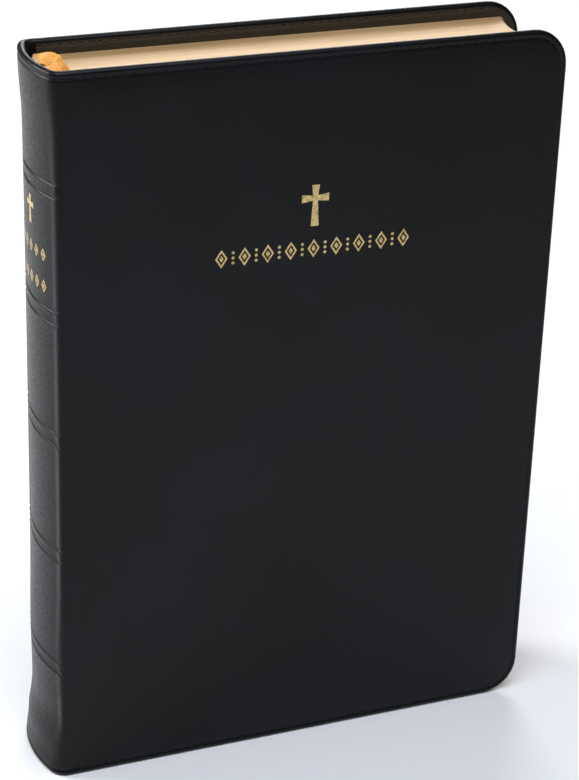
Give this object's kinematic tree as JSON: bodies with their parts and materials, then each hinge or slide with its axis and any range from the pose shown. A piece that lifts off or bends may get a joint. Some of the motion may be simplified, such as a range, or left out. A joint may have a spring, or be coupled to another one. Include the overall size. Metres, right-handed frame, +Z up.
{
  "type": "leather-bound bible",
  "caption": "Leather-bound Bible with stitched covers, rounded spine with pressed lines, gilt pages, headbands and ribbon markers; covers and leaves open.",
  "frame": {"origin": "middle of the closed book's footprint, on the surface that its tail edge stands on", "axes": "+Z up from the tail to the head, -X to the spine, -Y to the front cover"},
  "size_m": [0.1536, 0.032, 0.215],
  "materials": {
    "black_leather": "fine-grain black leather, pressed grain, satin finish",
    "grey_board": "grey binder's board",
    "lining_leather": "dark lining leather, matte",
    "cotton_gauze": "open cotton mull",
    "black_thread": "waxed polyester thread",
    "gold_foil": "hot-pressed gold foil",
    "spine_card": "flexible card",
    "kraft_paper": "brown kraft paper",
    "linen_thread": "linen sewing thread",
    "cream_band": "woven cotton band, cream",
    "orange_satin": "satin ribbon",
    "endpaper": "stout cream endpaper",
    "gilt_pages": "thin Bible paper, edges gilt"
  },
  "bodies": {
    "book_block": {"spine_leather": "black_leather", "spine_gold_blocking": "gold_foil", "spine_inlay": "spine_card", "head_band": "cream_band", "tail_band": "cream_band", "mull": "cotton_gauze", "spine_paper": "kraft_paper", "sewing_thread": "linen_thread", "ribbon_1": "orange_satin", "ribbon_2": "orange_satin", "front_section_folds": "gilt_pages", "back_section_folds": "gilt_pages", "middle_section_01": "gilt_pages", "middle_section_02": "gilt_pages", "middle_section_03": "gilt_pages", "middle_section_04": "gilt_pages", "middle_section_05": "gilt_pages", "middle_section_06": "gilt_pages", "middle_section_07": "gilt_pages", "middle_section_08": "gilt_pages", "middle_section_09": "gilt_pages", "middle_section_10": "gilt_pages", "middle_section_11": "gilt_pages", "middle_section_12": "gilt_pages"},
    "front_cover": {"front_leather": "black_leather", "front_board": "grey_board", "front_joint_cloth": "cotton_gauze", "front_lining": "lining_leather", "front_edge_stitching": "black_thread", "front_gold_blocking": "gold_foil"},
    "back_cover": {"back_leather": "black_leather", "back_board": "grey_board", "back_joint_cloth": "cotton_gauze", "back_lining": "lining_leather", "back_edge_stitching": "black_thread"},
    "front_flyleaf": {"front_flyleaf": "endpaper"},
    "front_leaf_1": {"front_leaf_1": "gilt_pages"},
    "front_leaf_2": {"front_leaf_2": "gilt_pages"},
    "front_leaf_3": {"front_leaf_3": "gilt_pages"},
    "front_section_1": {"front_section_1": "gilt_pages"},
    "front_section_2": {"front_section_2": "gilt_pages"},
    "front_section_3": {"front_section_3": "gilt_pages"},
    "front_section_4": {"front_section_4": "gilt_pages"},
    "front_section_5": {"front_section_5": "gilt_pages"},
    "back_flyleaf": {"back_flyleaf": "endpaper"},
    "back_leaf_1": {"back_leaf_1": "gilt_pages"},
    "back_leaf_2": {"back_leaf_2": "gilt_pages"},
    "back_section_1": {"back_section_1": "gilt_pages"},
    "back_section_2": {"back_section_2": "gilt_pages"},
    "back_section_3": {"back_section_3": "gilt_pages"},
    "back_section_4": {"back_section_4": "gilt_pages"}
  },
  "joints": [
    {"name": "front_cover_hinge", "type": "hinge", "parent": "book_block", "child": "front_cover", "pos_m": [-0.06826, -0.016, 0.1075], "axis": [0, 0, -1], "range_deg": [0, 175]},
    {"name": "back_cover_hinge", "type": "hinge", "parent": "book_block", "child": "back_cover", "pos_m": [-0.06826, 0.016, 0.1075], "axis": [0, 0, 1], "range_deg": [0, 175]},
    {"name": "front_flyleaf_turn", "type": "hinge", "parent": "book_block", "child": "front_flyleaf", "pos_m": [-0.06826, -0.016, 0.1075], "axis": [0, 0, -1], "range_deg": [0, 170.62]},
    {"name": "front_leaf_1_turn", "type": "hinge", "parent": "book_block", "child": "front_leaf_1", "pos_m": [-0.06826, -0.016, 0.1075], "axis": [0, 0, -1], "range_deg": [0, 162.75]},
    {"name": "front_leaf_2_turn", "type": "hinge", "parent": "book_block", "child": "front_leaf_2", "pos_m": [-0.06826, -0.016, 0.1075], "axis": [0, 0, -1], "range_deg": [0, 150.5]},
    {"name": "front_leaf_3_turn", "type": "hinge", "parent": "book_block", "child": "front_leaf_3", "pos_m": [-0.06826, -0.016, 0.1075], "axis": [0, 0, -1], "range_deg": [0, 136.5]},
    {"name": "front_section_1_turn", "type": "hinge", "parent": "book_block", "child": "front_section_1", "pos_m": [-0.06826, -0.016, 0.1075], "axis": [0, 0, -1], "range_deg": [0, 119]},
    {"name": "front_section_2_turn", "type": "hinge", "parent": "book_block", "child": "front_section_2", "pos_m": [-0.06826, -0.016, 0.1075], "axis": [0, 0, -1], "range_deg": [0, 98]},
    {"name": "front_section_3_turn", "type": "hinge", "parent": "book_block", "child": "front_section_3", "pos_m": [-0.06826, -0.016, 0.1075], "axis": [0, 0, -1], "range_deg": [0, 77]},
    {"name": "front_section_4_turn", "type": "hinge", "parent": "book_block", "child": "front_section_4", "pos_m": [-0.06826, -0.016, 0.1075], "axis": [0, 0, -1], "range_deg": [0, 54.25]},
    {"name": "front_section_5_turn", "type": "hinge", "parent": "book_block", "child": "front_section_5", "pos_m": [-0.06826, -0.016, 0.1075], "axis": [0, 0, -1], "range_deg": [0, 29.75]},
    {"name": "back_flyleaf_turn", "type": "hinge", "parent": "book_block", "child": "back_flyleaf", "pos_m": [-0.06826, 0.016, 0.1075], "axis": [0, 0, 1], "range_deg": [0, 169.75]},
    {"name": "back_leaf_1_turn", "type": "hinge", "parent": "book_block", "child": "back_leaf_1", "pos_m": [-0.06826, 0.016, 0.1075], "axis": [0, 0, 1], "range_deg": [0, 157.5]},
    {"name": "back_leaf_2_turn", "type": "hinge", "parent": "book_block", "child": "back_leaf_2", "pos_m": [-0.06826, 0.016, 0.1075], "axis": [0, 0, 1], "range_deg": [0, 140]},
    {"name": "back_section_1_turn", "type": "hinge", "parent": "book_block", "child": "back_section_1", "pos_m": [-0.06826, 0.016, 0.1075], "axis": [0, 0, 1], "range_deg": [0, 115.5]},
    {"name": "back_section_2_turn", "type": "hinge", "parent": "book_block", "child": "back_section_2", "pos_m": [-0.06826, 0.016, 0.1075], "axis": [0, 0, 1], "range_deg": [0, 85.75]},
    {"name": "back_section_3_turn", "type": "hinge", "parent": "book_block", "child": "back_section_3", "pos_m": [-0.06826, 0.016, 0.1075], "axis": [0, 0, 1], "range_deg": [0, 56]},
    {"name": "back_section_4_turn", "type": "hinge", "parent": "book_block", "child": "back_section_4", "pos_m": [-0.06826, 0.016, 0.1075], "axis": [0, 0, 1], "range_deg": [0, 26.25]}
  ],
  "couplings": [
    {"joint": "front_flyleaf_turn", "follows": "front_cover_hinge", "ratio": 0.975},
    {"joint": "front_leaf_1_turn", "follows": "front_cover_hinge", "ratio": 0.93},
    {"joint": "front_leaf_2_turn", "follows": "front_cover_hinge", "ratio": 0.86},
    {"joint": "front_leaf_3_turn", "follows": "front_cover_hinge", "ratio": 0.78},
    {"joint": "front_section_1_turn", "follows": "front_cover_hinge", "ratio": 0.68},
    {"joint": "front_section_2_turn", "follows": "front_cover_hinge", "ratio": 0.56},
    {"joint": "front_section_3_turn", "follows": "front_cover_hinge", "ratio": 0.44},
    {"joint": "front_section_4_turn", "follows": "front_cover_hinge", "ratio": 0.31},
    {"joint": "front_section_5_turn", "follows": "front_cover_hinge", "ratio": 0.17},
    {"joint": "back_flyleaf_turn", "follows": "back_cover_hinge", "ratio": 0.97},
    {"joint": "back_leaf_1_turn", "follows": "back_cover_hinge", "ratio": 0.9},
    {"joint": "back_leaf_2_turn", "follows": "back_cover_hinge", "ratio": 0.8},
    {"joint": "back_section_1_turn", "follows": "back_cover_hinge", "ratio": 0.66},
    {"joint": "back_section_2_turn", "follows": "back_cover_hinge", "ratio": 0.49},
    {"joint": "back_section_3_turn", "follows": "back_cover_hinge", "ratio": 0.32},
    {"joint": "back_section_4_turn", "follows": "back_cover_hinge", "ratio": 0.15}
  ]
}
